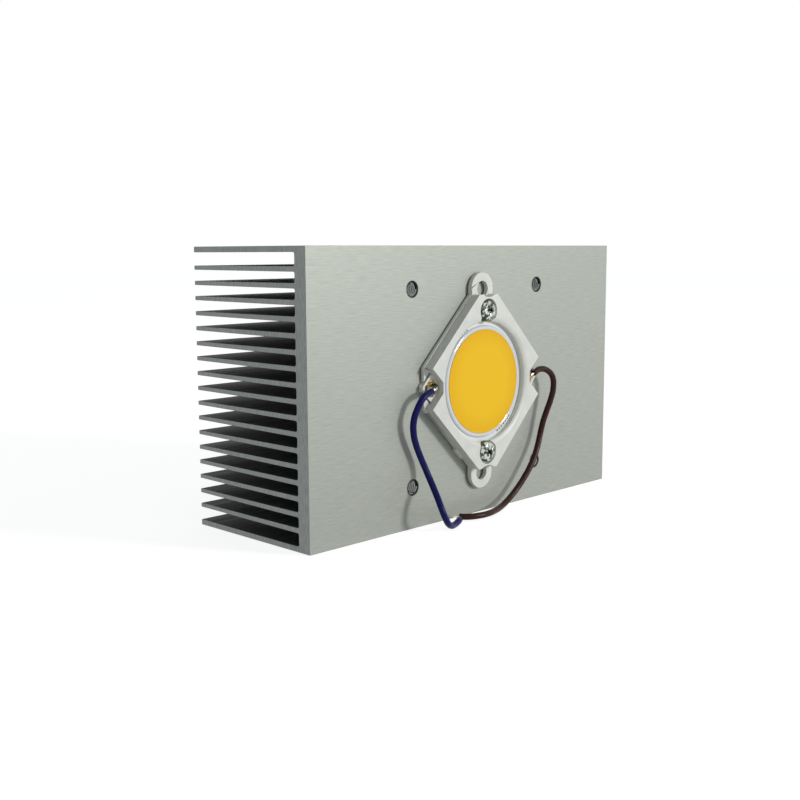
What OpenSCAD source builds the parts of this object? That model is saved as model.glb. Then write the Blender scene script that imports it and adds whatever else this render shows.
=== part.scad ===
// COB LED on a finned heat-sink block, held by a moulded frame and two screws.
// Millimetres. The origin is the centre of the block's bottom face, +Z is up,
// X runs along the extrusion and the light leaves the block towards -Y.

/* [Heat sink] */
// Length of the extrusion, along X
sink_w = 100; // [70:1:160]
// Depth of the extrusion from mounting face to fin tips
sink_d = 36; // [26:1:60]
// Height of the extrusion
sink_h = 60; // [54:1:100]
// Thickness of the plate behind the mounting face
base_t = 3.3; // [2.8:0.1:6]
// Thickness of the top and bottom fins
outer_fin_t = 1.2; // [0.8:0.1:2]
// Thickness of an inner fin at its root
fin_root_t = 1.08; // [0.8:0.02:1.4]
// Thickness of an inner fin at its tip
fin_tip_t = 0.88; // [0.6:0.02:1]
// Distance from one inner fin to the next
fin_pitch = 3.2; // [2.8:0.1:5]
// Least gap between an outer fin and its neighbour
edge_gap_min = 2.4; // [2:0.1:4]
// Radius in the two corners at the bottom of each gap
gap_fillet = 0.4; // [0.2:0.05:0.6]
// Chamfer along the outer corners of the extrusion
sink_chamfer = 0.25; // [0.1:0.05:0.5]

/* [Tapped holes] */
// Spacing of the four free tapped holes, both ways
hole_pitch = 42; // [40:1:46]
// Diameter of the drilled wall of the free tapped holes
tap_drill_d = 2.5; // [2:0.1:3.3]
// Depth of the free tapped holes
tap_depth = 6; // [4:0.5:10]
// Diameter of the countersink at their mouths
countersink_d = 3.2; // [2.8:0.1:4]

/* [LED board] */
// Distance from the dam to the edge of the square board
board_rim = 1.3; // [1:0.1:3]
// Cut across each corner of the board
board_corner_cut = 0.5; // [0.2:0.1:1]
// Thickness of the aluminium base plate
base_plate_t = 1.1; // [0.8:0.1:2]
// Thickness of the circuit layer on the base plate
circuit_t = 0.2; // [0.1:0.05:0.4]
// Thickness of the thermal grease under the board
grease_t = 0.1; // [0.05:0.05:0.3]
// Distance from the board's edge to the edge of the grease
grease_inset = 0.8; // [0.3:0.1:2]
// Clearance round the screws in the board
board_hole_clear = 0.35; // [0.2:0.05:0.5]

/* [Light source] */
// Diameter of the yellow phosphor disc
phosphor_d = 23; // [18:0.5:23]
// Height of the phosphor above the base plate
phosphor_h = 0.62; // [0.5:0.02:1]
// Width of the white dam round the phosphor
dam_w = 1.2; // [0.9:0.1:1.3]
// Height of the dam above the base plate
dam_h = 0.74; // [0.6:0.02:1.2]
// Part of the dam's width that lies on the circuit layer
dam_lap = 0.5; // [0.3:0.1:0.8]
// Side of one LED die
die_side = 0.8; // [0.4:0.1:1.2]
// Thickness of one LED die
die_t = 0.15; // [0.1:0.05:0.3]
// Spacing of the dies, both ways
die_pitch = 1.9; // [1.6:0.1:3]

/* [Copper] */
// Side of the square solder pads
pad_side = 3.4; // [2.6:0.1:3.8]
// Distance from the board's edge to a solder pad
pad_edge = 0.45; // [0.3:0.05:0.8]
// Thickness of the pads
copper_t = 0.05; // [0.04:0.01:0.1]
// Number of bond pads in each of the two rows beside the dam
bond_count = 7; // [3:1:9]
// Angle between neighbouring bond pads
bond_step = 3.8; // [3.4:0.2:5]
// Angle of the middle of the first row of bond pads
bond_angle = -54; // [-60:1:-48]
// Distance from the dam to the bond pads
bond_gap = 0.02; // [0.01:0.01:0.05]
// Length of one bond pad
bond_len = 0.5; // [0.3:0.05:0.6]
// Width of one bond pad
bond_w = 0.25; // [0.15:0.05:0.3]

/* [Solder] */
// Diameter of a solder joint on its pad
solder_d = 2.2; // [1.8:0.1:2.3]
// Clearance between a solder joint and the holder
solder_clear = 0.2; // [0.1:0.05:0.5]
// Height of a solder joint above its pad
solder_h = 1; // [0.8:0.1:1.4]

/* [Holder] */
// Wall of the holder round the board's pocket
holder_wall = 1.7; // [1.5:0.1:3]
// Thickness of the top plate over the board
plate_t = 1.8; // [1.5:0.1:3]
// Height of the skirt's face above the mounting face
skirt_h = 1; // [0.7:0.1:1.2]
// Gap under the skirt, between its feet
skirt_lift = 0.2; // [0.1:0.05:0.4]
// Clearance between the board and the pocket, each side
pocket_clear = 0.2; // [0.1:0.05:0.3]
// Clearance between the dam and the light window
window_clear = 0.4; // [0.35:0.05:1]
// Width of the slope round the light window
window_slope_w = 1.4; // [0.8:0.1:1.6]
// Height of that slope
window_slope_h = 0.8; // [0.4:0.1:1]
// Material left between the slope and a wire notch
notch_rim = 0.35; // [0.3:0.05:0.6]
// Half the width of a wire notch's floor
notch_floor = 1.2; // [0.8:0.1:1.6]
// Half the opening between the two tips beside a wire notch
notch_mouth = 4.35; // [4:0.05:4.8]
// Part of the board's corner that shows past the skirt
corner_show = 0.7; // [0.4:0.1:1]
// Clearance between the solder pads and the top plate
pad_clear = 0.1; // [0.05:0.05:0.2]
// Width of the lip along two sides of the skirt
lip_w = 0.45; // [0.3:0.05:0.7]
// Length of a foot along the skirt
foot_len = 3.4; // [2:0.1:5]
// Distance that a foot stands out from the skirt
foot_out = 0.35; // [0.2:0.05:0.5]
// Distance from the middle of a side to its foot
foot_place = 5.9; // [4:0.1:7]
// Length of the small toe at the end of the same side
toe_len = 1.6; // [1:0.1:2.4]

/* [Loops] */
// Distance from the end of the top plate to the far side of a loop
loop_out = 4.8; // [4.4:0.1:7]
// Inner radius of a loop
loop_r = 1.75; // [1.4:0.05:1.8]
// Width of a loop's band
loop_w = 1.9; // [1.4:0.1:2.2]
// Height of a loop's face above the mounting face
loop_h = 1.3; // [1.1:0.1:1.6]
// Radius of the arc cut into the top plate behind a loop
arc_r = 4.1; // [3.6:0.1:5]
// Depth of that arc
arc_depth = 0.6; // [0.4:0.05:0.65]

/* [Screws] */
// Thread diameter
screw_d = 2.5; // [2:0.1:2.6]
// Length under the head
screw_len = 6; // [5.6:0.1:8]
// Diameter of the head
head_d = 4.9; // [4.5:0.1:5]
// Height of the head
head_h = 1.8; // [1.4:0.1:2]
// Height of the head's straight rim
head_rim = 0.6; // [0.4:0.1:0.8]
// Span of the cross recess
recess_span = 2.6; // [2:0.1:3]
// Width of the cross recess
recess_w = 0.6; // [0.4:0.05:0.8]
// Depth of the cross recess
recess_depth = 1.1; // [0.8:0.1:1.2]
// Distance from the light window's edge to the middle of a screw
screw_gap = 2.6; // [2.2:0.1:5]
// Clearance round the head in its counterbore
head_clear = 0.3; // [0.2:0.05:0.5]
// Thickness of the top plate under the head
seat_t = 0.5; // [0.4:0.1:1]
// Wall between the counterbore and the end of the top plate
end_wall = 0.95; // [0.9:0.05:1.2]
// Clearance round the thread in the holder
screw_clear = 0.15; // [0.1:0.05:0.3]
// Clearance between the plain thread solid and the wall of its tapped hole
thread_clear = 0.05; // [0.03:0.01:0.1]
// Spare depth under the screws
hole_spare = 0.6; // [0.4:0.1:1]
// Width of the countersink round the screws' tapped holes
mouth_w = 0.2; // [0.1:0.05:0.3]
// Turn of the upper screw's recess
upper_turn = 20; // [0:5:85]
// Turn of the lower screw's recess
lower_turn = 50; // [0:5:85]

/* [Leads] */
// Diameter of the insulation
lead_d = 1.4; // [1.2:0.1:1.6]
// Diameter of the tinned strands
strand_d = 0.6; // [0.4:0.1:0.8]
// Length of the bare free end
tail_len = 1.2; // [0.8:0.1:1.6]
// Gap between the strands and the pad inside a solder joint
strand_lift = 0.2; // [0.1:0.05:0.4]
// Straight length of the strands before the insulation
strand_run = 0.8; // [0.5:0.1:1.2]

/* [Hidden] */
// Height of the source's centre above the bottom face
cob_z = sink_h / 2;
face_y = -sink_d / 2;
base_plate_top = grease_t + base_plate_t;
board_top = base_plate_top + circuit_t;
pad_top = board_top + copper_t;
holder_h = board_top + plate_t;
counterbore_z = board_top + seat_t;
dam_in = phosphor_d / 2;
dam_out = dam_in + dam_w;
board_window = dam_out - dam_lap;
board_side = 2 * (dam_out + board_rim);
pocket_side = board_side + 2 * pocket_clear;
holder_side = pocket_side + 2 * holder_wall;
half_diagonal = holder_side / sqrt(2);
window_r = dam_out + window_clear;
slope_r = window_r + window_slope_w;
screw_y = window_r + screw_gap;
board_hole_d = screw_d + 2 * board_hole_clear;
counterbore_d = head_d + 2 * head_clear;
end_z = screw_y + counterbore_d / 2 + end_wall;
arc_centre = end_z - arc_depth + arc_r;
loop_centre = end_z + loop_out - loop_w - loop_r;
skirt_reach = board_side / sqrt(2) - board_corner_cut - corner_show;
notch_x = slope_r + notch_rim;
pad_x = (board_side / 2 - pad_edge - pad_side / 2) * sqrt(2);
solder_x = notch_x + solder_clear + solder_d / 2;
inner_zone = sink_h - 2 * outer_fin_t - 2 * edge_gap_min - fin_root_t;
fin_count = floor(inner_zone / fin_pitch) + 1;
fin_first = (sink_h - (fin_count - 1) * fin_pitch) / 2;
// Smallest step past a face for a clean cut
eps = 0.02;
// Facets of round parts that stay true circles
round_fn = 64;
// Step of the arcs in turned outlines, in degrees
arc_step = 15;
// Powers that swell a solder joint's side and flatten its crest
solder_side_power = 0.8;
solder_crest_power = 1.4;

// Where the strands enter the insulation, seen from the middle of their solder joint:
// away from the light window, up along the face, and off the pad
blue_entry = [1.85, -0.4, 1.35];
brown_entry = [0.35, 0.6, 1.55];

// Route of the blue lead, from its insulation's start at the left pad
blue_route = [
    [-18.0, -20.8, 29.6], [-20.7, -21.1, 28.7], [-22.7, -21.0, 26.7], [-23.4, -20.6, 24.0],
    [-23.1, -20.3, 21.2], [-22.1, -20.1, 18.6], [-20.9, -20.1, 16.1], [-19.7, -20.3, 13.6],
    [-19.0, -21.0, 11.2], [-19.3, -22.2, 9.2], [-19.6, -24.2, 7.5], [-19.8, -25.5, 4.9],
    [-18.9, -25.6, 2.6], [-16.8, -25.2, 1.1], [-14.8, -24.1, 0.8], [-12.3, -23.4, 1.1],
    [-10.4, -21.9, 0.8],
];
// Route of the brown lead, from its insulation's start at the right pad
brown_route = [
    [16.5, -21.0, 30.6], [18.8, -21.1, 31.4], [21.1, -21.5, 31.2], [23.2, -21.7, 29.3],
    [23.8, -21.4, 26.4], [22.6, -21.2, 23.4], [21.9, -20.7, 21.0], [21.2, -20.3, 18.6],
    [20.5, -20.2, 16.2], [19.4, -20.4, 13.8], [17.8, -20.8, 11.4], [15.8, -21.0, 8.9],
    [13.3, -21.0, 6.3], [10.6, -20.8, 3.8], [7.6, -20.8, 1.9], [4.4, -21.4, 1.0],
    [1.0, -22.4, 0.8], [-2.2, -23.1, 0.8], [-5.0, -23.0, 0.8], [-7.2, -21.8, 0.8],
    [-8.6, -20.2, 0.8],
];
// Sides of a lead's tube
lead_sides = 8;

// ---- helpers ----

// Places flat work on the mounting face: x stays, y becomes up, z points out
module on_face() {
    translate([0, face_y, cob_z])
        rotate([90, 0, 0])
            children();
}

// Square on its corner, with the corners cut
module diamond(side, cut) {
    reach = side / sqrt(2);
    intersection() {
        rotate(45)
            square(side, center = true);
        square(2 * (reach - cut), center = true);
    }
}

// Polygonal ring of points round p, square to the direction t
function unit(v) = v / norm(v);
function ring(p, t, r, sides) =
    let (u = unit(cross(t, [0, 1, 0])), v = cross(u, t))
    [for (k = [0:sides - 1]) p + r * (cos(360 * k / sides) * u + sin(360 * k / sides) * v)];
function heading(path, i) =
    unit(path[min(i + 1, len(path) - 1)] - path[max(i - 1, 0)]);

// Round wire swept along a path
module wire(path, d, sides) {
    last = len(path) - 1;
    rings = [for (i = [0:last]) each ring(path[i], heading(path, i), d / 2, sides)];
    walls = [
        for (i = [0:last - 1], k = [0:sides - 1])
            let (a = i * sides + k, b = i * sides + (k + 1) % sides)
            each [[a, b, a + sides], [b, b + sides, a + sides]]
    ];
    start_cap = [[for (k = [sides - 1:-1:0]) k]];
    end_cap = [[for (k = [0:sides - 1]) last * sides + k]];
    polyhedron(rings, concat(start_cap, walls, end_cap), convexity = 6);
}

// ---- heat sink ----

// Corner of a gap's floor, as a short arc from one angle to the other
function fillet(y, z, from, to) =
    [for (k = [0:3]) let (a = from + (to - from) * k / 3)
        [y + gap_fillet * cos(a), z + gap_fillet * sin(a)]];

// Outline of one gap between fins, walked from its lower fin's tip to its upper fin's tip
function gap(low_root, low_tip, high_root, high_tip) =
    let (floor_y = face_y + base_t, tip_y = sink_d / 2)
    concat(
        [[tip_y, low_tip]],
        fillet(floor_y + gap_fillet, low_root + gap_fillet, 270, 180),
        fillet(floor_y + gap_fillet, high_root - gap_fillet, 180, 90),
        [[tip_y, high_tip]]
    );

function fin_z(i) = fin_first + i * fin_pitch;
// Edges of the fin under and over gap i; the first and last gaps border the outer fins
function low_edge(i, t) = i == 0 ? outer_fin_t : fin_z(i - 1) + t / 2;
function high_edge(i, t) = i == fin_count ? sink_h - outer_fin_t : fin_z(i) - t / 2;

function sink_profile() = concat(
    [[sink_d / 2, sink_chamfer]],
    [for (i = [0:fin_count]) each gap(
        low_edge(i, fin_root_t), low_edge(i, fin_tip_t),
        high_edge(i, fin_root_t), high_edge(i, fin_tip_t))],
    [
        [sink_d / 2, sink_h - sink_chamfer], [sink_d / 2 - sink_chamfer, sink_h],
        [face_y + sink_chamfer, sink_h], [face_y, sink_h - sink_chamfer],
        [face_y, sink_chamfer], [face_y + sink_chamfer, 0], [sink_d / 2 - sink_chamfer, 0]
    ]
);

// Blind hole into the mounting face, with a countersunk mouth
module tapped_hole(d, depth, mouth_d) {
    sink_in = (mouth_d - d) / 2;
    translate([0, 0, -depth])
        cylinder(d = d, h = depth + eps, $fn = round_fn);
    translate([0, 0, -sink_in])
        cylinder(d1 = d, d2 = mouth_d + 2 * eps, h = sink_in + eps, $fn = round_fn);
}

module heat_sink() {
    thread_hole = screw_d + 2 * thread_clear;
    below_face = screw_len - counterbore_z;
    color("silver")
        difference() {
            rotate([90, 0, 90])
                linear_extrude(sink_w, center = true)
                    polygon(sink_profile());
            on_face() {
                for (x = [-1, 1], y = [-1, 1])
                    translate([x, y] * hole_pitch / 2)
                        tapped_hole(tap_drill_d, tap_depth, countersink_d);
                for (y = [-1, 1])
                    translate([0, y * screw_y])
                        tapped_hole(thread_hole, below_face + hole_spare, thread_hole + 2 * mouth_w);
            }
        }
}

// ---- LED board ----

// Outline of the board, shrunk by a margin, with its two screw holes
module board_outline(margin, hole_d) {
    difference() {
        diamond(board_side - 2 * margin, board_corner_cut);
        for (y = [-1, 1])
            translate([0, y * screw_y])
                circle(d = hole_d, $fn = round_fn);
    }
}

// The grease ends level with the screws, short of the board's upper and lower corners
module thermal_grease() {
    color("gainsboro")
        on_face()
            linear_extrude(grease_t)
                intersection() {
                    board_outline(grease_inset, board_hole_d + 2 * grease_inset);
                    square([2 * board_side, 2 * screw_y], center = true);
                }
}

module base_plate() {
    color("lightgray")
        on_face()
            translate([0, 0, grease_t])
                linear_extrude(base_plate_t)
                    board_outline(0, board_hole_d);
}

module circuit_layer() {
    color("white")
        on_face()
            translate([0, 0, base_plate_top])
                linear_extrude(circuit_t)
                    difference() {
                        board_outline(0, board_hole_d);
                        circle(r = board_window, $fn = round_fn);
                    }
}

// Square solder pad in a side corner of the board; side is -1 for left, 1 for right
module pad(side) {
    color("goldenrod")
        on_face()
            translate([side * pad_x, 0, board_top])
                linear_extrude(copper_t)
                    diamond(pad_side, board_corner_cut);
}

// Two rows of small pads where the strings of dies are bonded, half a turn apart
module bond_pads() {
    middle = (bond_count - 1) / 2;
    color("goldenrod")
        on_face()
            for (turn = [0, 180], i = [0:bond_count - 1])
                rotate(turn + bond_angle + (i - middle) * bond_step)
                    translate([dam_out + bond_gap + bond_w / 2, 0, board_top + copper_t / 2])
                        cube([bond_w, bond_len, copper_t], center = true);
}

// Puts its child at each die's place
module each_die() {
    reach = dam_in - die_side;
    steps = floor(reach / die_pitch);
    for (i = [-steps:steps], j = [-steps:steps])
        if (norm([i, j]) * die_pitch < reach)
            translate([i, j] * die_pitch)
                children();
}

module dies() {
    translate([0, 0, base_plate_top])
        linear_extrude(die_t)
            each_die()
                square(die_side, center = true);
}

module led_dies() {
    color("skyblue")
        on_face()
            dies();
}

module phosphor() {
    color("orange")
        on_face()
            difference() {
                translate([0, 0, base_plate_top])
                    cylinder(r = dam_in, h = phosphor_h, $fn = round_fn);
                dies();
            }
}

// White bead that holds the phosphor in, with a rounded crest
module dam_ring() {
    crest_r = dam_w / 2;
    shoulder = base_plate_top + dam_h - crest_r / 2;
    crest = [for (a = [0:arc_step:180])
        [dam_in + crest_r + crest_r * cos(a), shoulder + crest_r / 2 * sin(a)]];
    color("white")
        on_face()
            rotate_extrude($fn = round_fn)
                polygon(concat(
                    crest,
                    [[dam_in, base_plate_top], [board_window, base_plate_top],
                     [board_window, board_top], [dam_out, board_top]]
                ));
}

// ---- leads ----

// Path of the bare strands from a solder joint to the start of the insulation
function strand_path(side, entry, route) =
    let (
        x = side * solder_x, y = face_y - pad_top, out = heading(route, 0),
        end = [x + side * entry.x, y - entry.z, cob_z + entry.y]
    )
    [[x, y - strand_d / 2 - strand_lift, cob_z], end - strand_run * out, end];

module strands(side, entry, route) {
    color("lightgray")
        wire(strand_path(side, entry, route), strand_d, lead_sides);
}

// Domed solder joint on its pad, closed round the strands
module solder(side, entry, route) {
    r = solder_d / 2;
    dome = [for (a = [0:arc_step:90])
        [r * pow(cos(a), solder_side_power), solder_h * pow(sin(a), solder_crest_power)]];
    color("darkgray")
        difference() {
            on_face()
                translate([side * solder_x, 0, pad_top])
                    rotate_extrude($fn = round_fn)
                        polygon(concat([[0, 0]], dome));
            wire(strand_path(side, entry, route), strand_d, lead_sides);
        }
}

module blue_lead() {
    color("midnightblue")
        wire(blue_route, lead_d, lead_sides);
}

module brown_lead() {
    color("saddlebrown")
        wire(brown_route, lead_d, lead_sides);
}

// Bare free end, straight on from the end of the insulation
module tail(route) {
    last = len(route) - 1;
    out = heading(route, last);
    color("lightgray")
        wire([route[last], route[last] + tail_len * out], strand_d, lead_sides);
}

// ---- holder ----

// Top plate: a square on its corner with its ends cut off and a wire notch at each side
module plate_outline() {
    tip_x = half_diagonal - notch_mouth;
    end_x = half_diagonal - end_z;
    right = [
        [end_x, end_z], [tip_x, notch_mouth], [notch_x, notch_floor],
        [notch_x, -notch_floor], [tip_x, -notch_mouth], [end_x, -end_z]
    ];
    left = [for (p = right) -p];
    difference() {
        polygon(concat(right, left));
        for (y = [-1, 1])
            translate([0, y * arc_centre])
                circle(r = arc_r, $fn = round_fn);
    }
}

// Bar along the outside of the skirt's side that faces the angle a
module side_bar(a, place, length, width) {
    rotate(a)
        translate([holder_side / 2 - eps, place - length / 2])
            square([width + eps, length]);
}

// Feet and toes stand on the two sides that face up-right and down-left
module foot_outlines() {
    corner_place = (skirt_reach - half_diagonal / 2) * sqrt(2);
    for (a = [45, 225]) {
        side_bar(a, foot_place, foot_len, foot_out);
        side_bar(a, toe_len / 2 - corner_place, toe_len, foot_out);
    }
}

module skirt_outline() {
    difference() {
        intersection() {
            union() {
                diamond(holder_side, 0);
                for (a = [135, 315])
                    side_bar(a, 0, holder_side, lip_w);
                foot_outlines();
            }
            square(2 * [skirt_reach, end_z], center = true);
        }
        for (y = [-1, 1])
            translate([0, y * arc_centre])
                circle(r = arc_r, $fn = round_fn);
    }
}

// U-shaped loops beyond the two ends
module loop_outlines() {
    out_r = loop_r + loop_w;
    leg = loop_centre - end_z + arc_depth;
    for (a = [0, 180])
        rotate(a)
            difference() {
                union() {
                    translate([0, loop_centre])
                        circle(r = out_r, $fn = round_fn);
                    translate([-out_r, loop_centre - leg])
                        square([2 * out_r, leg]);
                }
                translate([0, loop_centre])
                    circle(r = loop_r, $fn = round_fn);
                translate([-loop_r, loop_centre - leg - eps])
                    square([2 * loop_r, leg + eps]);
            }
}

module holder() {
    color("white")
        on_face()
            difference() {
                union() {
                    translate([0, 0, skirt_lift])
                        linear_extrude(holder_h - skirt_lift)
                            plate_outline();
                    translate([0, 0, skirt_lift])
                        linear_extrude(skirt_h - skirt_lift)
                            skirt_outline();
                    linear_extrude(skirt_h)
                        intersection() {
                            foot_outlines();
                            square(2 * [skirt_reach, end_z], center = true);
                        }
                    translate([0, 0, skirt_lift])
                        linear_extrude(loop_h - skirt_lift)
                            loop_outlines();
                }
                // Pocket for the board, closed above by the top plate
                translate([0, 0, -eps])
                    linear_extrude(board_top + eps)
                        rotate(45)
                            square(pocket_side, center = true);
                // Relief that keeps the plate off the solder pads
                for (x = [-1, 1])
                    translate([x * pad_x, 0, board_top - eps])
                        linear_extrude(copper_t + pad_clear + eps)
                            diamond(pad_side + 2 * pad_clear, board_corner_cut);
                // Light window and the slope round it
                cylinder(r = window_r, h = 2 * holder_h, $fn = round_fn);
                translate([0, 0, holder_h - window_slope_h])
                    cylinder(r1 = window_r, r2 = slope_r, h = window_slope_h, $fn = round_fn);
                translate([0, 0, holder_h])
                    cylinder(r = slope_r, h = holder_h, $fn = round_fn);
                // Screw holes and the counterbores for their heads
                for (y = [-1, 1])
                    translate([0, y * screw_y]) {
                        cylinder(d = screw_d + 2 * screw_clear, h = holder_h, $fn = round_fn);
                        translate([0, 0, counterbore_z])
                            cylinder(d = counterbore_d, h = holder_h, $fn = round_fn);
                    }
            }
}

// ---- screws ----

// Pan-head screw with a cross recess; side is 1 for the upper one, -1 for the lower
module screw(side, turn) {
    dome_h = head_h - head_rim;
    r = head_d / 2;
    dome = [for (a = [0:arc_step:90]) [r * cos(a), head_rim + dome_h * sin(a)]];
    color("gainsboro")
        on_face()
            translate([0, side * screw_y, counterbore_z])
                difference() {
                    union() {
                        rotate_extrude($fn = round_fn)
                            polygon(concat([[0, 0], [r, 0]], dome));
                        translate([0, 0, -screw_len])
                            cylinder(d = screw_d, h = screw_len + eps, $fn = round_fn);
                    }
                    for (a = [0, 90])
                        rotate(turn + a)
                            translate([0, 0, head_h])
                                cube([recess_span, recess_w, 2 * recess_depth], center = true);
                }
}

heat_sink();
thermal_grease();
base_plate();
circuit_layer();
pad(-1);  // left_pad
pad(1);  // right_pad
bond_pads();
led_dies();
phosphor();
dam_ring();
solder(-1, blue_entry, blue_route);  // left_solder
solder(1, brown_entry, brown_route);  // right_solder
holder();
screw(1, upper_turn);  // upper_screw
screw(-1, lower_turn);  // lower_screw
strands(-1, blue_entry, blue_route);  // blue_strands
strands(1, brown_entry, brown_route);  // brown_strands
blue_lead();
brown_lead();
tail(blue_route);  // blue_tail
tail(brown_route);  // brown_tail
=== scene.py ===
# %% [markdown]
# # A COB LED on a finned heat sink
#
# The object is a chip-on-board LED in a white moulded holder, screwed to an aluminium block
# with fins, and fed by a blue and a brown wire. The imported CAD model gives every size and
# place. This file models the pieces whose edges, threads and seams show, keeps the CAD nodes
# that only need a finish, and gives each one its own procedural material.

from math import cos, pi, radians, sin

import bmesh
import bpy
from mathutils import Matrix, Vector


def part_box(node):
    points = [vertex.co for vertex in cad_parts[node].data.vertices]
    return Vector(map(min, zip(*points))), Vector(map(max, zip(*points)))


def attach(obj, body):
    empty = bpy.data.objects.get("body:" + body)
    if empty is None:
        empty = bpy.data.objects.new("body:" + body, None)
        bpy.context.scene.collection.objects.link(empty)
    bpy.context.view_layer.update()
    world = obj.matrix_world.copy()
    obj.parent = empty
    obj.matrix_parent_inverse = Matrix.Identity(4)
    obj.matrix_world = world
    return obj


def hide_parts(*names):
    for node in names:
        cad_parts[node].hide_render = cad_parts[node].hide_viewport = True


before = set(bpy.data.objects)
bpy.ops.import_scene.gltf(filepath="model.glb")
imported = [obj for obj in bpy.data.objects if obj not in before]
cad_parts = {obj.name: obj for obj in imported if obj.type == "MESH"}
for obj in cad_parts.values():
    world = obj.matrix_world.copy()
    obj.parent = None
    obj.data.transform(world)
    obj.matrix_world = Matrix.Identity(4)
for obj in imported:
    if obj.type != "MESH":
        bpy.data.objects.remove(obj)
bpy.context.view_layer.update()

# %% [markdown]
# Blender counts in metres, and this object is best thought of in millimetres. The LED sits in
# the middle of the block's front, the mounting face, so most places are given as they are seen
# by someone who looks straight at that face: x to the right, up from the middle, and out of
# the face towards the viewer.

# %% Sizes and places
MM = 0.001
SINK_LOW, SINK_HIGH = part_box("heat_sink")
FACE_Y = SINK_LOW.y
CENTRE_Z = (SINK_LOW.z + SINK_HIGH.z) / 2


def at(x, up, out):
    """A place seen from the middle of the mounting face, given in millimetres."""
    return Vector((x * MM, FACE_Y - out * MM, CENTRE_Z + up * MM))


print("Mounting face at y", round(FACE_Y, 4), "and middle height", round(CENTRE_Z, 4))

# %% [markdown]
# The camera stands to the left of the block and a little above it, about a quarter of a metre
# away, and looks slightly down. It is turned by a hair about its own line of sight, as a
# camera held in the hand is. Its three directions are worked out from those angles and put
# into its matrix, which is clearer than three Euler angles.

# %% Camera
CAMERA_PLACE = Vector((-184.5, -175.4, 58.9)) * MM
CAMERA_TURN = radians(-45.42)
CAMERA_HEIGHT = radians(7.8)
CAMERA_ROLL = radians(-0.26)
LENS = 48.96

back = Vector((
    sin(CAMERA_TURN) * cos(CAMERA_HEIGHT),
    -cos(CAMERA_TURN) * cos(CAMERA_HEIGHT),
    sin(CAMERA_HEIGHT),
))
level = (-back).cross(Vector((0, 0, 1))).normalized()
right = Matrix.Rotation(CAMERA_ROLL, 3, back) @ level
camera = bpy.data.objects.new("camera", bpy.data.cameras.new("camera"))
bpy.context.scene.collection.objects.link(camera)
camera.matrix_world = Matrix.LocRotScale(
    CAMERA_PLACE, Matrix((right, back.cross(right), back)).transposed(), None)
camera.data.lens = LENS
bpy.context.scene.camera = camera
print("Camera lens", camera.data.lens, "at", tuple(round(v, 4) for v in CAMERA_PLACE))

# %% [markdown]
# The two wires are free cords: thin stranded copper in PVC insulation, limp enough to hang
# from their solder joints, bow away from the block and lie on the table. A cord is one open
# curve with a round bevel, so that it keeps its thickness however it bends. Each route follows
# the CAD model's, smoothed by up to 0.4 mm, and automatic handles make one smooth line of it.

# %% Wires
WIRE_D = 1.4 * MM
BLUE_ROUTE = [
    (-18, -20.8, 29.6), (-20.7, -21.1, 28.7), (-22.44, -20.9, 26.49),
    (-23.34, -20.62, 24), (-23.14, -20.31, 21.3), (-22.15, -20.08, 18.61),
    (-20.86, -20.03, 16.03), (-19.74, -20.29, 13.57), (-19.19, -21.06, 11.32),
    (-19.29, -22.44, 9.27), (-19.66, -24.08, 7.17), (-19.65, -25.31, 4.86),
    (-18.76, -25.64, 2.68), (-17.02, -25.16, 1.25), (-14.76, -24.31, 0.83),
    (-12.3, -23.4, 1.1), (-10.4, -21.9, 0.8),
]
BROWN_ROUTE = [
    (16.5, -21, 30.6), (18.8, -21.1, 31.4), (21.26, -21.48, 30.83),
    (23.02, -21.63, 29.19), (23.52, -21.49, 26.52), (22.92, -21.14, 23.59),
    (22, -20.7, 20.96), (21.23, -20.33, 18.56), (20.47, -20.23, 16.2),
    (19.39, -20.43, 13.82), (17.83, -20.76, 11.38), (15.79, -20.97, 8.84),
    (13.36, -20.93, 6.23), (10.61, -20.8, 3.8), (7.6, -20.9, 1.99),
    (4.35, -21.5, 1.04), (1, -22.4, 0.8), (-2.17, -23.02, 0.8),
    (-4.88, -22.79, 0.8), (-7.2, -21.8, 0.8), (-8.6, -20.2, 0.8),
]


def wire(name, route):
    """A smooth round curve through the points of a route."""
    curve = bpy.data.curves.new(name, "CURVE")
    curve.dimensions = "3D"
    curve.bevel_depth = 1  # each point's radius is then in metres
    curve.bevel_resolution = 6
    curve.resolution_u = 10
    curve.use_fill_caps = True
    spline = curve.splines.new("BEZIER")
    spline.bezier_points.add(len(route) - 1)
    for point, place in zip(spline.bezier_points, route):
        point.co, point.radius = Vector(place) * MM, WIRE_D / 2
        point.handle_left_type = point.handle_right_type = "AUTO"
    cord = bpy.data.objects.new(name, curve)
    bpy.context.scene.collection.objects.link(cord)
    print(name, "goes through", len(route), "points")
    return cord


blue_wire = wire("blue_wire", BLUE_ROUTE)
brown_wire = wire("brown_wire", BROWN_ROUTE)

# %% [markdown]
# Every piece below is made the same way as by hand: add a primitive at its size and place,
# shape it in edit mode, cut it with other solids, and round its edges. These helpers do the
# small chores. The first two make sure that an operator acts on one object only, because an
# operator acts on all that is selected.

# %% Helpers for modelling
def deselect():
    """Leaves edit mode and selects nothing."""
    if bpy.context.object and bpy.context.object.mode != "OBJECT":
        bpy.ops.object.mode_set(mode="OBJECT")
    bpy.ops.object.select_all(action="DESELECT")


def take(piece):
    """Makes one piece the only selected and the active one."""
    deselect()
    piece.select_set(True)
    bpy.context.view_layer.objects.active = piece


def edit(piece):
    """Opens a piece in edit mode."""
    take(piece)
    bpy.ops.object.mode_set(mode="EDIT")


def settle(name):
    """Names the new primitive and puts its place, turn and size into its mesh."""
    piece = bpy.context.object
    piece.name = piece.data.name = name
    bpy.ops.object.transform_apply(location=True, rotation=True, scale=True)
    return piece


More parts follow.
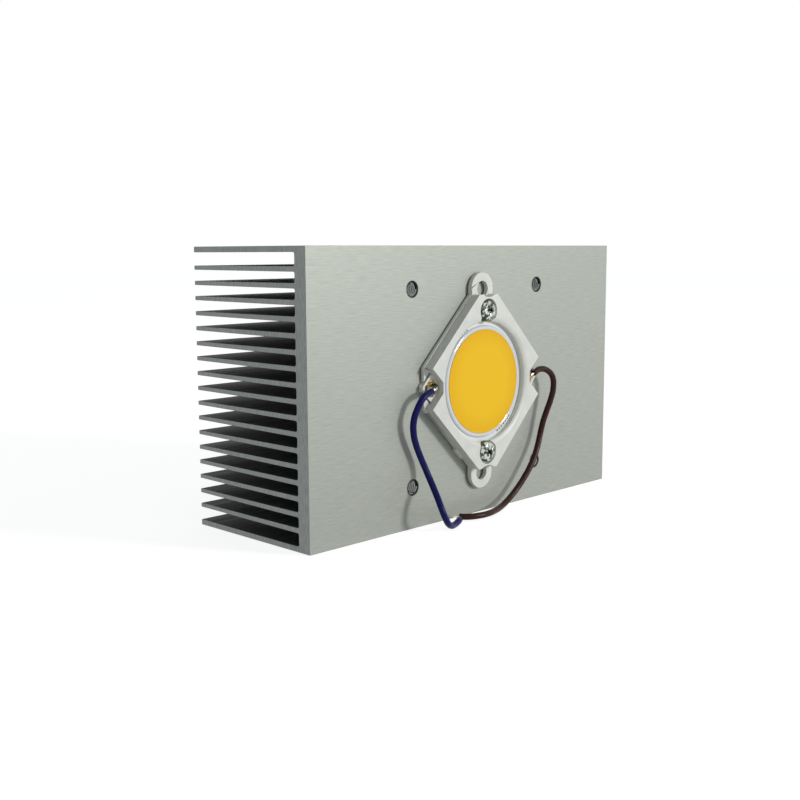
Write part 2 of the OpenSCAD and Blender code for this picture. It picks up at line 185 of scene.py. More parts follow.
def block(name, low, high):
    """A box between two corners."""
    deselect()
    bpy.ops.mesh.primitive_cube_add(size=1, location=(low + high) / 2)
    bpy.context.object.scale = high - low
    return settle(name)


def rod(name, x, up, radius, start, end, sides=64):
    """A round rod square to the mounting face, from one height over it to another."""
    deselect()
    bpy.ops.mesh.primitive_cylinder_add(
        vertices=sides, radius=radius * MM, depth=(end - start) * MM,
        location=at(x, up, (start + end) / 2), rotation=(pi / 2, 0, 0))
    return settle(name)


def pick(kind, rule):
    """In edit mode, selects faces, edges or vertices by their middle and direction."""
    bpy.ops.mesh.select_mode(type=kind)
    bpy.ops.mesh.select_all(action="DESELECT")
    mesh = bmesh.from_edit_mesh(bpy.context.object.data)
    if kind == "FACE":
        parts = [(f, f.calc_center_median(), f.normal) for f in mesh.faces]
    elif kind == "EDGE":
        parts = [(e, (e.verts[0].co + e.verts[1].co) / 2,
                  (e.verts[1].co - e.verts[0].co).normalized()) for e in mesh.edges]
    else:
        parts = [(v, v.co.copy(), v.normal) for v in mesh.verts]
    chosen = [part for part, middle, direction in parts if rule(middle, direction)]
    for part in chosen:
        part.select_set(True)
    mesh.select_flush_mode()
    bmesh.update_edit_mesh(bpy.context.object.data)
    return len(chosen)


def combine(piece, tool, how="DIFFERENCE"):
    """Cuts a tool's solid from a piece or joins it on, and clears the tool away."""
    take(piece)
    step = piece.modifiers.new("combine", "BOOLEAN")
    step.operation, step.object, step.solver = how, tool, "EXACT"
    bpy.ops.object.modifier_apply(modifier=step.name)
    bpy.data.objects.remove(tool)


def shade(piece, sharp=35):
    """Shades edges under an angle smooth, and lets large flat faces keep their own normal."""
    take(piece)
    bpy.ops.object.shade_smooth_by_angle(angle=radians(sharp))
    step = piece.modifiers.new("normals", "WEIGHTED_NORMAL")
    step.keep_sharp = True
    bpy.ops.object.modifier_apply(modifier=step.name)


def soften(piece, width, segments=2, sharp=35):
    """Rounds the edges sharper than an angle and shades the rest smooth."""
    take(piece)
    step = piece.modifiers.new("edges", "BEVEL")
    step.width, step.segments = width * MM, segments
    step.limit_method, step.angle_limit = "ANGLE", radians(sharp)
    step.use_clamp_overlap = False
    bpy.ops.object.modifier_apply(modifier=step.name)
    shade(piece, sharp)


def copy_of(piece, name, move):
    """A second piece with a mesh of its own, moved by a matrix."""
    twin = bpy.data.objects.new(name, piece.data.copy())
    bpy.context.scene.collection.objects.link(twin)
    twin.data.transform(move)
    twin.data.name = name
    return twin


def place_on(piece, slot, *nodes):
    """Puts a piece on the root body, hides the CAD nodes it stands for and prints its size. The
    slot is not used.
    """
    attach(piece, "root")
    if nodes:
        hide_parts(*nodes)
    size = [round(d / MM, 2) for d in piece.dimensions]
    print(piece.name, "is", size, "mm")


# %% [markdown]
# The block is an aluminium extrusion: a front plate and a comb of thin fins behind it. It
# could be drawn as a profile and extruded along X. Here the plate comes first, because then
# the fins grow out of it as they do from the die: bisect marks where each fin starts, and one
# extrude pulls them all back at once. Their tips are then drawn in, since a real fin tapers so
# that the extrusion leaves its die, and the gaps get round corners at their floor.

# %% Block with fins
PLATE_T = 3.3 * MM
OUTER_FIN_T = 1.2 * MM
FIN_ROOT_T = 1.08 * MM
FIN_TIP_T = 0.88 * MM
FIN_PITCH = 3.2 * MM
FIN_FIRST = 4.4 * MM
FIN_COUNT = 17
GAP_ROUND = 0.4 * MM
HAIR = 0.01 * MM
EDGE_ROUND = 0.12

fins = [FIN_FIRST + FIN_PITCH * i for i in range(FIN_COUNT)]
plate_back = SINK_LOW.y + PLATE_T


def in_fin(z):
    """Whether a height lies in the top fin, the bottom fin or one between them."""
    outer = z < OUTER_FIN_T or z > SINK_HIGH.z - OUTER_FIN_T
    return outer or any(abs(z - fin) < FIN_ROOT_T / 2 for fin in fins)


sink = block("sink_block", SINK_LOW, Vector((SINK_HIGH.x, plate_back, SINK_HIGH.z)))
edit(sink)
sides = [OUTER_FIN_T, SINK_HIGH.z - OUTER_FIN_T]
sides += [fin + side * FIN_ROOT_T / 2 for fin in fins for side in (-1, 1)]
for height in sides:
    bpy.ops.mesh.select_all(action="SELECT")
    bpy.ops.mesh.bisect(plane_co=(0, 0, height), plane_no=(0, 0, 1))
pick("FACE", lambda middle, normal: normal.y > 0.9 and in_fin(middle.z))
bpy.ops.mesh.extrude_region_move(
    TRANSFORM_OT_translate={"value": (0, SINK_HIGH.y - plate_back, 0)})
for side in (-1, 1):
    pick("VERT", lambda place, normal: place.y > SINK_HIGH.y - HAIR and any(
        HAIR < side * (place.z - fin) < FIN_ROOT_T / 2 + HAIR for fin in fins))
    bpy.ops.transform.translate(value=(0, 0, side * (FIN_TIP_T - FIN_ROOT_T) / 2))
bpy.ops.mesh.select_all(action="SELECT")
bpy.ops.mesh.dissolve_limited(angle_limit=radians(0.1))
pick("EDGE", lambda middle, along: abs(along.x) > 0.9 and abs(middle.y - plate_back) < HAIR)
bpy.ops.mesh.bevel(offset=GAP_ROUND, segments=3, affect="EDGES")
deselect()
print("Block has", len(sink.data.polygons), "faces and", FIN_COUNT + 2, "fins")

# %% [markdown]
# Six holes are drilled and tapped in the mounting face: four M3 holes in a square, which stay
# free for a reflector or a bracket, and two under the holder for its screws. The cutting tool
# is a rod whose outer end is drawn wider, so one cut leaves the hole and its countersink.

# %% Tapped holes
HOLE_PITCH = 42
HOLE_R = 1.5
HOLE_DEPTH = 6
SCREW_HOLE_DEPTH = 4.5
MOUTH = 0.2
SCREW_UP = 15.7
SCREW_HOLE_R = 1.3
free_holes = [(x * HOLE_PITCH / 2, up * HOLE_PITCH / 2) for x in (-1, 1) for up in (-1, 1)]
screw_holes = [(0, -SCREW_UP), (0, SCREW_UP)]


def drill(x, up, radius, depth):
    """Cuts one hole with a countersunk mouth into the block."""
    tool = rod("drill", x, up, radius, -depth, -MOUTH, 48)
    edit(tool)
    pick("FACE", lambda middle, normal: normal.y < -0.9)
    bpy.ops.mesh.extrude_region_move(TRANSFORM_OT_translate={"value": (0, -2 * MOUTH * MM, 0)})
    wide = (radius + 2 * MOUTH) / radius
    bpy.ops.transform.resize(value=(wide, 1, wide), center_override=at(x, up, MOUTH))
    deselect()
    combine(sink, tool)


for x, up in free_holes:
    drill(x, up, HOLE_R, HOLE_DEPTH)
for x, up in screw_holes:
    drill(x, up, SCREW_HOLE_R, SCREW_HOLE_DEPTH)
soften(sink, EDGE_ROUND)
place_on(sink, "sink", "heat_sink")

# %% [markdown]
# A tap leaves a thread on the wall of its hole. A bump map can fake that on a flat picture,
# but a hole is seen from the side, so the ridge is real here: a small triangle wound up the
# wall by a Screw modifier. The same helper winds the threads of the two screws later.

# %% Threads in the free holes
THREAD_PITCH = 0.5
THREAD_STEPS = 36
HOLE_THREAD_DEPTH = 0.28
THREAD_TURNS = 10


def thread(name, radius, depth, turns, x, up, start):
    """A ridge that winds into the face: depth is below zero on a screw, above in a hole."""
    deselect()
    bpy.ops.mesh.primitive_circle_add(
        vertices=3, radius=THREAD_PITCH * 0.5 * MM, location=(radius * MM, 0, 0),
        rotation=(0, 0, pi / 2))
    ridge = bpy.context.object
    ridge.scale.y = depth / (THREAD_PITCH * 0.75)
    settle(name)
    step = ridge.modifiers.new("wind", "SCREW")
    step.axis, step.steps, step.render_steps = "Y", THREAD_STEPS, THREAD_STEPS
    step.iterations, step.screw_offset = turns, THREAD_PITCH * MM
    step.use_merge_vertices = False
    bpy.ops.object.modifier_apply(modifier=step.name)
    edit(ridge)
    bpy.ops.mesh.select_all(action="SELECT")
    bpy.ops.mesh.fill_holes(sides=4)
    bpy.ops.mesh.normals_make_consistent(inside=False)
    deselect()
    ridge.data.transform(Matrix.Translation(at(x, up, start)))
    shade(ridge)
    return ridge


hole_threads = []
for number, (x, up) in enumerate(free_holes, 1):
    ridge = thread(f"hole_thread_{number}", HOLE_R, HOLE_THREAD_DEPTH, THREAD_TURNS,
                   x, up, -MOUTH - 0.2)
    place_on(ridge, "sink")
    hole_threads.append(ridge)

# %% [markdown]
# The holder is one white moulding in two levels. A low skirt goes round the board, a thicker
# top plate presses it down, and both are squares that stand on a corner. Starting from one
# turned box, a bisect at the skirt's height makes the step line, the two side ends are sliced
# off, and the lips of the skirt are pulled out of its side faces. Joining many thin boxes
# would leave seams, so what can be pulled or sliced from the one box is.

# %% Holder: body, ends and lips
HOLDER_SIDE = 31.8
HOLDER_TOP = 3.2
SKIRT_TOP = 1.0
SKIRT_LIFT = 0.2
END_UP = 19.4
SKIRT_REACH = 18.6
LIP_W = 0.45


def turned_block(name, x0, x1, up0, up1, out0, out1, turn=45):
    """A box on the mounting face, turned about the middle of the face."""
    low = Vector((x0 * MM, -out1 * MM, up0 * MM))
    high = Vector((x1 * MM, -out0 * MM, up1 * MM))
    box = block(name, low, high)
    box.data.transform(Matrix.Translation(at(0, 0, 0)) @ Matrix.Rotation(radians(-turn), 4, "Y"))
    return box


half = HOLDER_SIDE / 2
holder = turned_block("holder_moulding", -half, half, -half, half, SKIRT_LIFT, HOLDER_TOP)
edit(holder)
bpy.ops.mesh.select_all(action="SELECT")
bpy.ops.mesh.bisect(plane_co=at(0, 0, SKIRT_TOP), plane_no=(0, 1, 0))
for side in (-1, 1):
    lip_way = Vector((side, 0, -side)).normalized()
    pick("FACE", lambda middle, normal: normal.dot(lip_way) > 0.9
         and middle.y > at(0, 0, SKIRT_TOP).y)
    bpy.ops.mesh.extrude_region_move(TRANSFORM_OT_translate={"value": lip_way * LIP_W * MM})
ends = [((side, 0, 0), at(side * SKIRT_REACH, 0, 0)) for side in (-1, 1)]
ends += [((0, 0, side), at(0, side * END_UP, 0)) for side in (-1, 1)]
for way, place in ends:
    bpy.ops.mesh.select_all(action="SELECT")
    bpy.ops.mesh.bisect(plane_co=place, plane_no=way, use_fill=True, clear_outer=True)
deselect()
print("Holder body has", len(holder.data.polygons), "faces")

# %% [markdown]
# Small feet on two sides keep the skirt a hair off the block, and a U-shaped loop stands
# beyond each end. They overlap the body before they are joined to it, because two solids that
# only touch leave a seam.

# %% Holder: feet and loops
FOOT_OUT = 0.35
FOOT_UNDER = 0.5
FOOT_LEN = 3.4
FOOT_PLACE = 5.9
TOE_LEN = 1.6
LOOP_UP = 20.55
LOOP_R = 1.75
LOOP_W = 1.9
LOOP_TOP = 1.3
LEG_LEN = 2.4
toe_end = (SKIRT_REACH - HOLDER_SIDE / 2 ** 0.5 / 2) * 2 ** 0.5
for turn in (45, 225):
    for middle, length in ((FOOT_PLACE, FOOT_LEN), (TOE_LEN / 2 - toe_end + 0.2, TOE_LEN)):
        foot = turned_block("foot", half - FOOT_UNDER, half + FOOT_OUT,
                            middle - length / 2, middle + length / 2, 0, SKIRT_TOP - HAIR, turn)
        combine(holder, foot, "UNION")
for side in (-1, 1):
    outer = LOOP_R + LOOP_W
    loop = rod("loop", 0, side * LOOP_UP, outer, SKIRT_LIFT, LOOP_TOP)
    legs = sorted((side * (LOOP_UP - LEG_LEN), side * LOOP_UP))
    combine(loop, block("legs", at(-outer, legs[0], LOOP_TOP), at(outer, legs[1], SKIRT_LIFT)),
            "UNION")
    combine(holder, loop, "UNION")
    eye = rod("eye", 0, side * LOOP_UP, LOOP_R, -1, HOLDER_TOP + 1)
    combine(holder, eye)
print("Holder with feet and loops has", len(holder.data.polygons), "faces")

# %% [markdown]
# The cuts come last: the pocket for the board, the round light window with its slope, a wire
# notch at each side, the curved bites behind the loops, and the counterbores for the screws.
# Each tool is a plain solid whose outer face is drawn wider where the cut has a slope.

# %% Holder: pocket, window, notches and counterbores
POCKET = 14.2
BOARD_TOP = 1.4
WINDOW_R = 13.5
SLOPE_R = 14.5
SLOPE_H = 0.8
NOTCH_X = 14.85
NOTCH_FLOOR = 1.2
NOTCH_END_X = 23
NOTCH_END = 9.0
BITE_UP = 22.9
BITE_R = 4.1
SEAT = 1.9
COUNTERBORE_R = 2.75
SCREW_PASS_R = 1.4
combine(holder, turned_block("pocket", -POCKET, POCKET, -POCKET, POCKET, -1, BOARD_TOP))
window = rod("window", 0, 0, WINDOW_R, -1, HOLDER_TOP - SLOPE_H, 96)
edit(window)
pick("FACE", lambda middle, normal: normal.y < -0.9)
flare = 1 + 2 * (SLOPE_R / WINDOW_R - 1)
bpy.ops.mesh.extrude_region_move(TRANSFORM_OT_translate={"value": (0, -2 * SLOPE_H * MM, 0)})
bpy.ops.transform.resize(value=(flare, 1, flare), center_override=at(0, 0, HOLDER_TOP))
deselect()
combine(holder, window)
for side in (-1, 1):
    xs = sorted((side * NOTCH_X, side * NOTCH_END_X))
    notch = block("notch", at(xs[0], -NOTCH_FLOOR, HOLDER_TOP + 1),
                  at(xs[1], NOTCH_FLOOR, SKIRT_TOP))
    edit(notch)
    pick("FACE", lambda middle, normal: normal.x * side > 0.9)
    bpy.ops.transform.resize(value=(1, 1, NOTCH_END / NOTCH_FLOOR), center_override=at(0, 0, 0))
    deselect()
    combine(holder, notch)
    bite = rod("bite", 0, side * BITE_UP, BITE_R, LOOP_TOP, HOLDER_TOP + 1)
    combine(holder, bite)
    combine(holder, rod("screw_hole", 0, side * SCREW_UP, SCREW_PASS_R, -1, HOLDER_TOP + 1, 48))
    combine(holder, rod("counterbore", 0, side * SCREW_UP, COUNTERBORE_R, SEAT, HOLDER_TOP + 1))
soften(holder, EDGE_ROUND, 2, 40)
place_on(holder, "holder", "holder")

# %% [markdown]
# The screws are pan heads with a cross recess. A rod's outer rim is bevelled far in for the
# round pan, and two tapered bars, joined into a cross, cut the recess.

# %% Screws
HEAD_R = 2.45
HEAD_H = 1.8
SCREW_LEN = 6
SHANK_R = 1.1
PAN_ROUND = 1.1
SCREW_THREAD_DEPTH = -0.18
THREAD_BEGIN = 5.2
BAR_LOW = Vector((-1.45, -0.6, -0.32)) * MM
BAR_HIGH = Vector((1.45, 0.9, 0.32)) * MM
BAR_TAPER = (0.45, 1, 0.7)


def screw(name, up, turn):
    """A pan-head screw in its counterbore, its cross recess turned by an angle."""
    head = rod(name, 0, up, HEAD_R, SEAT, SEAT + HEAD_H, 48)
    edit(head)
    rim_y = at(0, 0, SEAT + HEAD_H).y
    pick("EDGE", lambda middle, along: abs(middle.y - rim_y) < HAIR)
    bpy.ops.mesh.bevel(offset=PAN_ROUND * MM, segments=6, affect="EDGES")
    deselect()
    for angle in (turn, turn + 90):
        bar = block("bar", BAR_LOW, BAR_HIGH)
        edit(bar)
        pick("FACE", lambda middle, normal: normal.y > 0.9)
        bpy.ops.transform.resize(value=BAR_TAPER, center_override=(0, BAR_HIGH.y, 0))
        deselect()
        bar.data.transform(Matrix.Translation(at(0, up, SEAT + HEAD_H))
                           @ Matrix.Rotation(radians(angle), 4, "Y"))
        combine(head, bar)
    shank = rod("shank", 0, up, SHANK_R, SEAT - SCREW_LEN, SEAT + 0.1, 32)
    combine(head, shank, "UNION")
    soften(head, 0.05, 2, 30)
    ridge = thread("ridge", SHANK_R, SCREW_THREAD_DEPTH, THREAD_TURNS,
                   0, up, SEAT - SCREW_LEN + THREAD_BEGIN)
    take(head)
    ridge.select_set(True)
    bpy.ops.object.join()
    return head


upper = screw("pan_screw_upper", SCREW_UP, 20)
lower = screw("pan_screw_lower", -SCREW_UP, 50)
place_on(upper, "screw", "upper_screw")
place_on(lower, "screw", "lower_screw")

# %% [markdown]
# The light source is a pool of yellow silicone held in by a white bead. The bead is a torus
# pressed flat. The pool is a disc whose rim climbs the bead a little, as a liquid does.

# %% Light source
POOL_R = 11.5
POOL_TOP = 1.82
PLATE_TOP = 1.2
DAM_MID = 12.0
DAM_THICK_R = 0.6
DAM_FLAT = 0.8
deselect()
bpy.ops.mesh.primitive_torus_add(
    major_segments=128, minor_segments=20,
    major_radius=DAM_MID * MM, minor_radius=DAM_THICK_R * MM,
    location=at(0, 0, BOARD_TOP), rotation=(pi / 2, 0, 0))
bpy.context.object.scale.z = DAM_FLAT
dam = settle("dam_bead")
edit(dam)
bpy.ops.mesh.select_all(action="SELECT")
bpy.ops.mesh.bisect(plane_co=at(0, 0, PLATE_TOP), plane_no=(0, 1, 0),
                    use_fill=True, clear_outer=True)
deselect()
shade(dam, 50)
place_on(dam, "dam", "dam_ring")
pool = rod("phosphor_pool", 0, 0, POOL_R + 0.1, PLATE_TOP, POOL_TOP + 0.06, 128)
edit(pool)
pick("FACE", lambda middle, normal: normal.y < -0.9)
for inward, lower_by in ((0.25, 0.03), (0.4, 0.02), (1.0, 0.01), (4.0, 0.0)):
    bpy.ops.mesh.inset(thickness=inward * MM)
    bpy.ops.transform.translate(value=(0, lower_by * MM, 0))
deselect()
shade(pool, 40)
place_on(pool, "phosphor", "phosphor")

# %% [markdown]
# The wires ride with the block, and the CAD nodes of the leads are hidden, since the curves
# stand for them. Their bare ends are CAD nodes that lie on them.

for cord, node, tail, route, length in (
        (blue_wire, "blue_lead", "blue_tail", BLUE_ROUTE, 0.0429),
        (brown_wire, "brown_lead", "brown_tail", BROWN_ROUTE, 0.0589)):
    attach(cord, "root")
    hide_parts(node)

# %% [markdown]
# Each finish is a node tree on Object coordinates, in metres. One helper adds a noise that may
# be stretched into streaks, one turns it into a range of colours or roughness, and one makes
# relief of it. Values that are the same all over stay on the shader's own sockets.

# %% Helpers for finishes
def finish(name, color, roughness, metallic=0.0, **sockets):
    """A material whose shader has its plain values set."""
    material = bpy.data.materials.new(name)
    material.use_nodes = True
    shader = material.node_tree.nodes["Principled BSDF"]
    shader.inputs["Base Color"].default_value = (*color, 1)
    shader.inputs["Roughness"].default_value = roughness
    shader.inputs["Metallic"].default_value = metallic
    for socket, value in sockets.items():
        shader.inputs[socket.replace("_", " ")].default_value = value
    return material


def grain(material, per_mm, detail=3.0):
    """Noise on the piece; per_mm gives how fine it is along x, y and z."""
    tree = material.node_tree
    place = tree.nodes.new("ShaderNodeTexCoord")
    scale = tree.nodes.new("ShaderNodeMapping")
    scale.inputs["Scale"].default_value = Vector(per_mm) / MM
    noise = tree.nodes.new("ShaderNodeTexNoise")
    noise.inputs["Scale"].default_value = 1
    noise.inputs["Detail"].default_value = detail
    tree.links.new(place.outputs["Object"], scale.inputs["Vector"])
    tree.links.new(scale.outputs["Vector"], noise.inputs["Vector"])
    return noise.outputs["Fac"]


def blend_colors(material, value, stops):
    """Turns a value into colours at their stops and feeds the base colour."""
    ramp = material.node_tree.nodes.new("ShaderNodeValToRGB")
    for i, (position, color) in enumerate(stops):
        stop = ramp.color_ramp.elements[i] if i < 2 else ramp.color_ramp.elements.new(position)
        stop.position, stop.color = position, (*color, 1)
    material.node_tree.links.new(value, ramp.inputs["Fac"])
    shader = material.node_tree.nodes["Principled BSDF"]
    material.node_tree.links.new(ramp.outputs["Color"], shader.inputs["Base Color"])


def vary_roughness(material, value, low, high):
    """Spreads the roughness between two values."""
    spread = material.node_tree.nodes.new("ShaderNodeMapRange")
    spread.inputs["From Min"].default_value = 0.3
    spread.inputs["From Max"].default_value = 0.7
    spread.inputs["To Min"].default_value = low
    spread.inputs["To Max"].default_value = high
    shader = material.node_tree.nodes["Principled BSDF"]
    material.node_tree.links.new(value, spread.inputs["Value"])
    material.node_tree.links.new(spread.outputs["Result"], shader.inputs["Roughness"])


def relief(material, value, depth, strength=0.5):
    """Raises the surface by a value; depth is in millimetres."""
    bump = material.node_tree.nodes.new("ShaderNodeBump")
    bump.inputs["Strength"].default_value = strength
    bump.inputs["Distance"].default_value = depth * MM
    shader = material.node_tree.nodes["Principled BSDF"]
    material.node_tree.links.new(value, bump.inputs["Height"])
    material.node_tree.links.new(bump.outputs["Normal"], shader.inputs["Normal"])


# %% [markdown]
# The block wears four finishes. The mounting face was milled and brushed along X, so its noise
# is stretched along X and fine along Z. The ends show the saw. The walls of the holes are
# coloured very dark: painted shade for the depth of the holes. All the rest is dark anodised,
# its colour made as deep as the shade in the fin gaps, so it paints that shade too. The faces
# are told apart by their place and their normal, so the borders stay crisp.

# %% Finishes of the block
brushed = finish("brushed_aluminium", (0.31, 0.325, 0.29), 0.5, 0.5)
streaks = grain(brushed, (0.3, 1, 6), 6)
blend_colors(brushed, streaks, [(0.3, (0.275, 0.292, 0.262)), (0.7, (0.34, 0.357, 0.318))])
vary_roughness(brushed, grain(brushed, (0.3, 1, 2.0)), 0.48, 0.54)
relief(brushed, streaks, 0.003, 0.15)
# Dark anodised, with its colour set as deep as the shade in the fin gaps: partly painted shade.
black_and_gap_shade = finish("black_anodised_and_gap_shade", (0.011, 0.013, 0.014), 0.55, Specular_IOR_Level=0.15)
drawn = grain(black_and_gap_shade, (0.03, 3, 3), 4)
blend_colors(black_and_gap_shade, drawn, [(0.35, (0.007, 0.009, 0.010)), (0.65, (0.019, 0.021, 0.022))])
relief(black_and_gap_shade, drawn, 0.02, 0.4)
vary_roughness(black_and_gap_shade, grain(black_and_gap_shade, (0.05, 1, 1)), 0.5, 0.65)
# Painted shade: the walls of the holes are coloured very dark for the depth of the holes, not
# for their metal.
hole_shade = finish("hole_walls_painted_shade", (0.012, 0.013, 0.013), 0.5, 0.5)
relief(hole_shade, grain(hole_shade, (2, 6, 2)), 0.02, 0.4)
# The thread's aluminium is darkened: painted shade from the depth of its hole.
cut_thread_painted_shade = finish("cut_thread_painted_shade", (0.24, 0.25, 0.24), 0.25, 1.0)
relief(cut_thread_painted_shade, grain(cut_thread_painted_shade, (3, 3, 3)), 0.02, 0.4)
sawn = finish("sawn_aluminium", (0.30, 0.31, 0.31), 0.5, 0.6)
marks = grain(sawn, (1, 4.0, 0.5), 4)
blend_colors(sawn, marks, [(0.3, (0.20, 0.215, 0.21)), (0.7, (0.31, 0.33, 0.32))])
relief(sawn, marks, 0.02, 0.4)
sink.data.materials.clear()
for material in (brushed, black_and_gap_shade, sawn, hole_shade):  # in the order of the slot numbers below
    sink.data.materials.append(material)
BRUSHED, BLACK_AND_GAP_SHADE, SAWN, HOLE_SHADE = range(4)
HOLES_X = 30 * MM
HOLES_UP = 25 * MM
END_DEPTH = 0.2 * MM


def in_a_hole(face):
    """Whether a face lies in the plate's depth, near the middle, and doesn't look backwards."""
    x, y, z = face.center
    in_plate = FACE_Y + HAIR < y < plate_back + GAP_ROUND and abs(y - plate_back) > GAP_ROUND
    near_middle = abs(x) < HOLES_X and abs(z - CENTRE_Z) < HOLES_UP
    return in_plate and near_middle and face.normal.y < 0.2


for face in sink.data.polygons:
    if abs(face.normal.x) > 0.8 and abs(face.center.x) > SINK_HIGH.x - END_DEPTH:
        face.material_index = SAWN
    elif in_a_hole(face):
        face.material_index = HOLE_SHADE
    elif face.normal.y < -0.6:
        face.material_index = BRUSHED
    else:
        face.material_index = BLACK_AND_GAP_SHADE
for ridge in hole_threads:
    ridge.data.materials.clear()
    ridge.data.materials.append(cut_thread_painted_shade)
print("Block faces: brushed, black, sawn and bored")

# %% [markdown]
# The other finishes. Moulded plastic is satin with a faint mottle. Zinc is bright, with dark
# patches painted on as reflections. The silicone pool darkens a little towards its rim, by the
# distance from its middle.
# PVC insulation is smooth. Flux stains the gold pads and the solder brown in patches.

# %% Finishes of the small pieces
plastic = finish("white_plastic", (0.62, 0.635, 0.60), 0.4, Specular_IOR_Level=0.45)
mottle = grain(plastic, (0.35, 0.35, 0.35), 4)
blend_colors(plastic, mottle, [(0.3, (0.62, 0.63, 0.585)), (0.7, (0.69, 0.70, 0.65))])
relief(plastic, grain(plastic, (5, 5, 5)), 0.01, 0.15)
zinc_and_painted_reflections = finish("zinc_with_painted_reflections", (0.5, 0.51, 0.47), 0.2, 1.0)
# The dark patches are painted reflections: spots of a darker room that the white room doesn't
# give.
blend_colors(zinc_and_painted_reflections, grain(zinc_and_painted_reflections, (1.1, 1.1, 1.1), 3),
             [(0.44, (0.045, 0.055, 0.05)), (0.58, (0.56, 0.60, 0.52))])
vary_roughness(zinc_and_painted_reflections, grain(zinc_and_painted_reflections, (2, 2, 2)), 0.1, 0.3)
relief(zinc_and_painted_reflections, grain(zinc_and_painted_reflections, (2, 2, 2)), 0.1, 0.5)
yellow = finish("yellow_silicone", (0.88, 0.52, 0.012), 0.45, Specular_IOR_Level=0.15)
tree = yellow.node_tree
place = tree.nodes.new("ShaderNodeTexCoord")
centre = tree.nodes.new("ShaderNodeVectorMath")
centre.operation = "DISTANCE"
centre.inputs[1].default_value = at(0, 0, POOL_TOP)
tree.links.new(place.outputs["Object"], centre.inputs[0])
blend_colors(yellow, centre.outputs["Value"],
             [(0.0105, (0.86, 0.52, 0.010)), (0.0116, (0.80, 0.44, 0.008))])
relief(yellow, grain(yellow, (1.5, 1.5, 1.5)), 0.01, 0.15)
bead = finish("white_silicone", (0.60, 0.64, 0.68), 0.1, Coat_Weight=0.6)
relief(bead, grain(bead, (0.5, 0.5, 0.5)), 0.08, 0.3)
blue_pvc = finish("blue_pvc", (0.004, 0.005, 0.085), 0.25, Specular_IOR_Level=0.12)
brown_pvc = finish("brown_pvc", (0.038, 0.013, 0.008), 0.25, Specular_IOR_Level=0.12)
for pvc in (blue_pvc, brown_pvc):
    relief(pvc, grain(pvc, (0.4, 0.4, 0.4)), 0.02, 0.1)
    vary_roughness(pvc, grain(pvc, (1.5, 1.5, 1.5)), 0.22, 0.4)
gold = finish("gold_and_flux", (0.78, 0.55, 0.22), 0.3, 0.8)
blend_colors(gold, grain(gold, (0.9, 0.9, 0.9)),
             [(0.42, (0.55, 0.42, 0.16)), (0.54, (0.05, 0.035, 0.012))])
copper = finish("stained_copper", (0.20, 0.10, 0.03), 0.4, 0.4)
blend_colors(copper, grain(copper, (1.5, 1.5, 1.5)),
             [(0.4, (0.28, 0.15, 0.04)), (0.6, (0.05, 0.025, 0.01))])
tin = finish("tin_solder", (0.62, 0.60, 0.55), 0.22, 1.0)
relief(tin, grain(tin, (1.6, 1.6, 1.6)), 0.2, 0.6)
blend_colors(tin, grain(tin, (0.8, 0.8, 0.8)),
             [(0.46, (0.60, 0.60, 0.50)), (0.58, (0.06, 0.055, 0.03))])
strand = finish("tinned_strands", (0.75, 0.68, 0.55), 0.28, 1.0)
relief(strand, grain(strand, (6, 6, 6)), 0.08, 0.6)
sheet = finish("rolled_aluminium", (0.78, 0.79, 0.78), 0.25, 1.0)
relief(sheet, grain(sheet, (0.3, 3, 3)), 0.01, 0.4)
resist = finish("white_resist", (0.74, 0.76, 0.74), 0.25)
relief(resist, grain(resist, (2, 2, 2)), 0.01, 0.2)
paste = finish("thermal_paste", (0.7, 0.7, 0.68), 0.6)
relief(paste, grain(paste, (2, 2, 2)), 0.05, 0.5)
chip = finish("sapphire_chips", (0.3, 0.42, 0.55), 0.15)
relief(chip, grain(chip, (8, 8, 8)), 0.01, 0.3)
wears = {
    holder: plastic, upper: zinc_and_painted_reflections, lower: zinc_and_painted_reflections, pool: yellow, dam: bead,
    blue_wire: blue_pvc, brown_wire: brown_pvc,
}
cad_wears = {
    "left_pad": gold, "right_pad": gold, "bond_pads": copper, "left_solder": tin,
    "right_solder": tin, "blue_strands": strand, "brown_strands": strand, "blue_tail": strand,
    "brown_tail": strand, "base_plate": sheet, "circuit_layer": resist,
    "thermal_grease": paste, "led_dies": chip,
}
wears.update({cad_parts[node]: material for node, material in cad_wears.items()})
for piece, material in wears.items():
    piece.data.materials.clear()
    piece.data.materials.append(material)
print("Finishes given to", len(wears), "pieces")

# %% [markdown]
# A plain pale floor, one soft lamp in front of the mounting face and to its right, and an even
# pale room. The room is white only to the camera, in reflections and through glass, and the
# floor glows halfway for those same rays. So the background is white while the lamp stays at a
# plain level, and the floor keeps the object's shadow.

# %% Stage and light
LAMP_WAY = Vector((0.5, -1, 0.3)).normalized()
LAMP_DISTANCE = 0.9
LAMP_SIZE = 0.14
LAMP_WATTS = 5
ROOM_STRENGTH = 0.35
FLOOR_SIZE = 6
FLOOR_DROP = 0.0001
FLOOR_GLOW = 1.66
GLOW_SHARE = 0.5


def background_rays(tree):
    """1 for rays that see the background: the camera's, off metal and through glass."""
    path = tree.nodes.new("ShaderNodeLightPath")
    total = path.outputs["Is Camera Ray"]
    for ray in ("Is Glossy Ray", "Is Transmission Ray"):
        add = tree.nodes.new("ShaderNodeMath")
        add.operation = "MAXIMUM"
        tree.links.new(total, add.inputs[0])
        tree.links.new(path.outputs[ray], add.inputs[1])
        total = add.outputs["Value"]
    return total


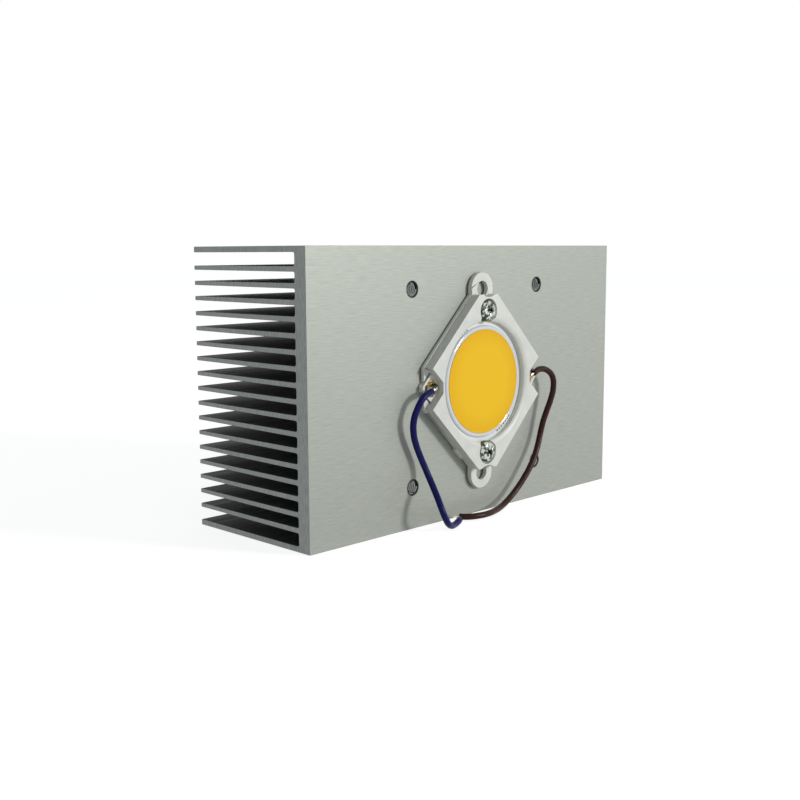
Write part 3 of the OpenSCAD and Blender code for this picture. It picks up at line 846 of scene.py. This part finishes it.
deselect()
bpy.ops.mesh.primitive_plane_add(size=FLOOR_SIZE, location=(0, 0, -FLOOR_DROP))
floor = settle("floor")
pale = finish("pale_floor", (0.8, 0.8, 0.8), 0.9)
tree = pale.node_tree
shown = tree.nodes.new("ShaderNodeMixShader")
glow = tree.nodes.new("ShaderNodeEmission")
glow.inputs["Strength"].default_value = FLOOR_GLOW
half_seen = tree.nodes.new("ShaderNodeMath")
half_seen.operation = "MULTIPLY"
half_seen.inputs[1].default_value = GLOW_SHARE
tree.links.new(background_rays(tree), half_seen.inputs[0])
tree.links.new(half_seen.outputs["Value"], shown.inputs["Fac"])
tree.links.new(tree.nodes["Principled BSDF"].outputs["BSDF"], shown.inputs[1])
tree.links.new(glow.outputs["Emission"], shown.inputs[2])
tree.links.new(shown.outputs["Shader"], tree.nodes["Material Output"].inputs["Surface"])
floor.data.materials.append(pale)

world = bpy.data.worlds.new("room")
bpy.context.scene.world = world
world.use_nodes = True
tree = world.node_tree
room = tree.nodes["Background"]
room.inputs["Color"].default_value = (0.92, 0.96, 1.0, 1)
room.inputs["Strength"].default_value = ROOM_STRENGTH
backdrop = tree.nodes.new("ShaderNodeBackground")
backdrop.inputs["Color"].default_value = (1, 1, 1, 1)
choice = tree.nodes.new("ShaderNodeMixShader")
tree.links.new(background_rays(tree), choice.inputs["Fac"])
tree.links.new(room.outputs["Background"], choice.inputs[1])
tree.links.new(backdrop.outputs["Background"], choice.inputs[2])
tree.links.new(choice.outputs["Shader"], tree.nodes["World Output"].inputs["Surface"])

lamp = bpy.data.objects.new("soft_lamp", bpy.data.lights.new("soft_lamp", "AREA"))
bpy.context.scene.collection.objects.link(lamp)
lamp.data.size = LAMP_SIZE
lamp.data.energy = LAMP_WATTS
lamp.matrix_world = Matrix.LocRotScale(
    at(0, 0, 0) + LAMP_WAY * LAMP_DISTANCE, LAMP_WAY.to_track_quat("Z", "Y"), None)
bpy.context.scene.view_settings.view_transform = "Standard"
print("Lamp", LAMP_WATTS, "W, room", ROOM_STRENGTH)
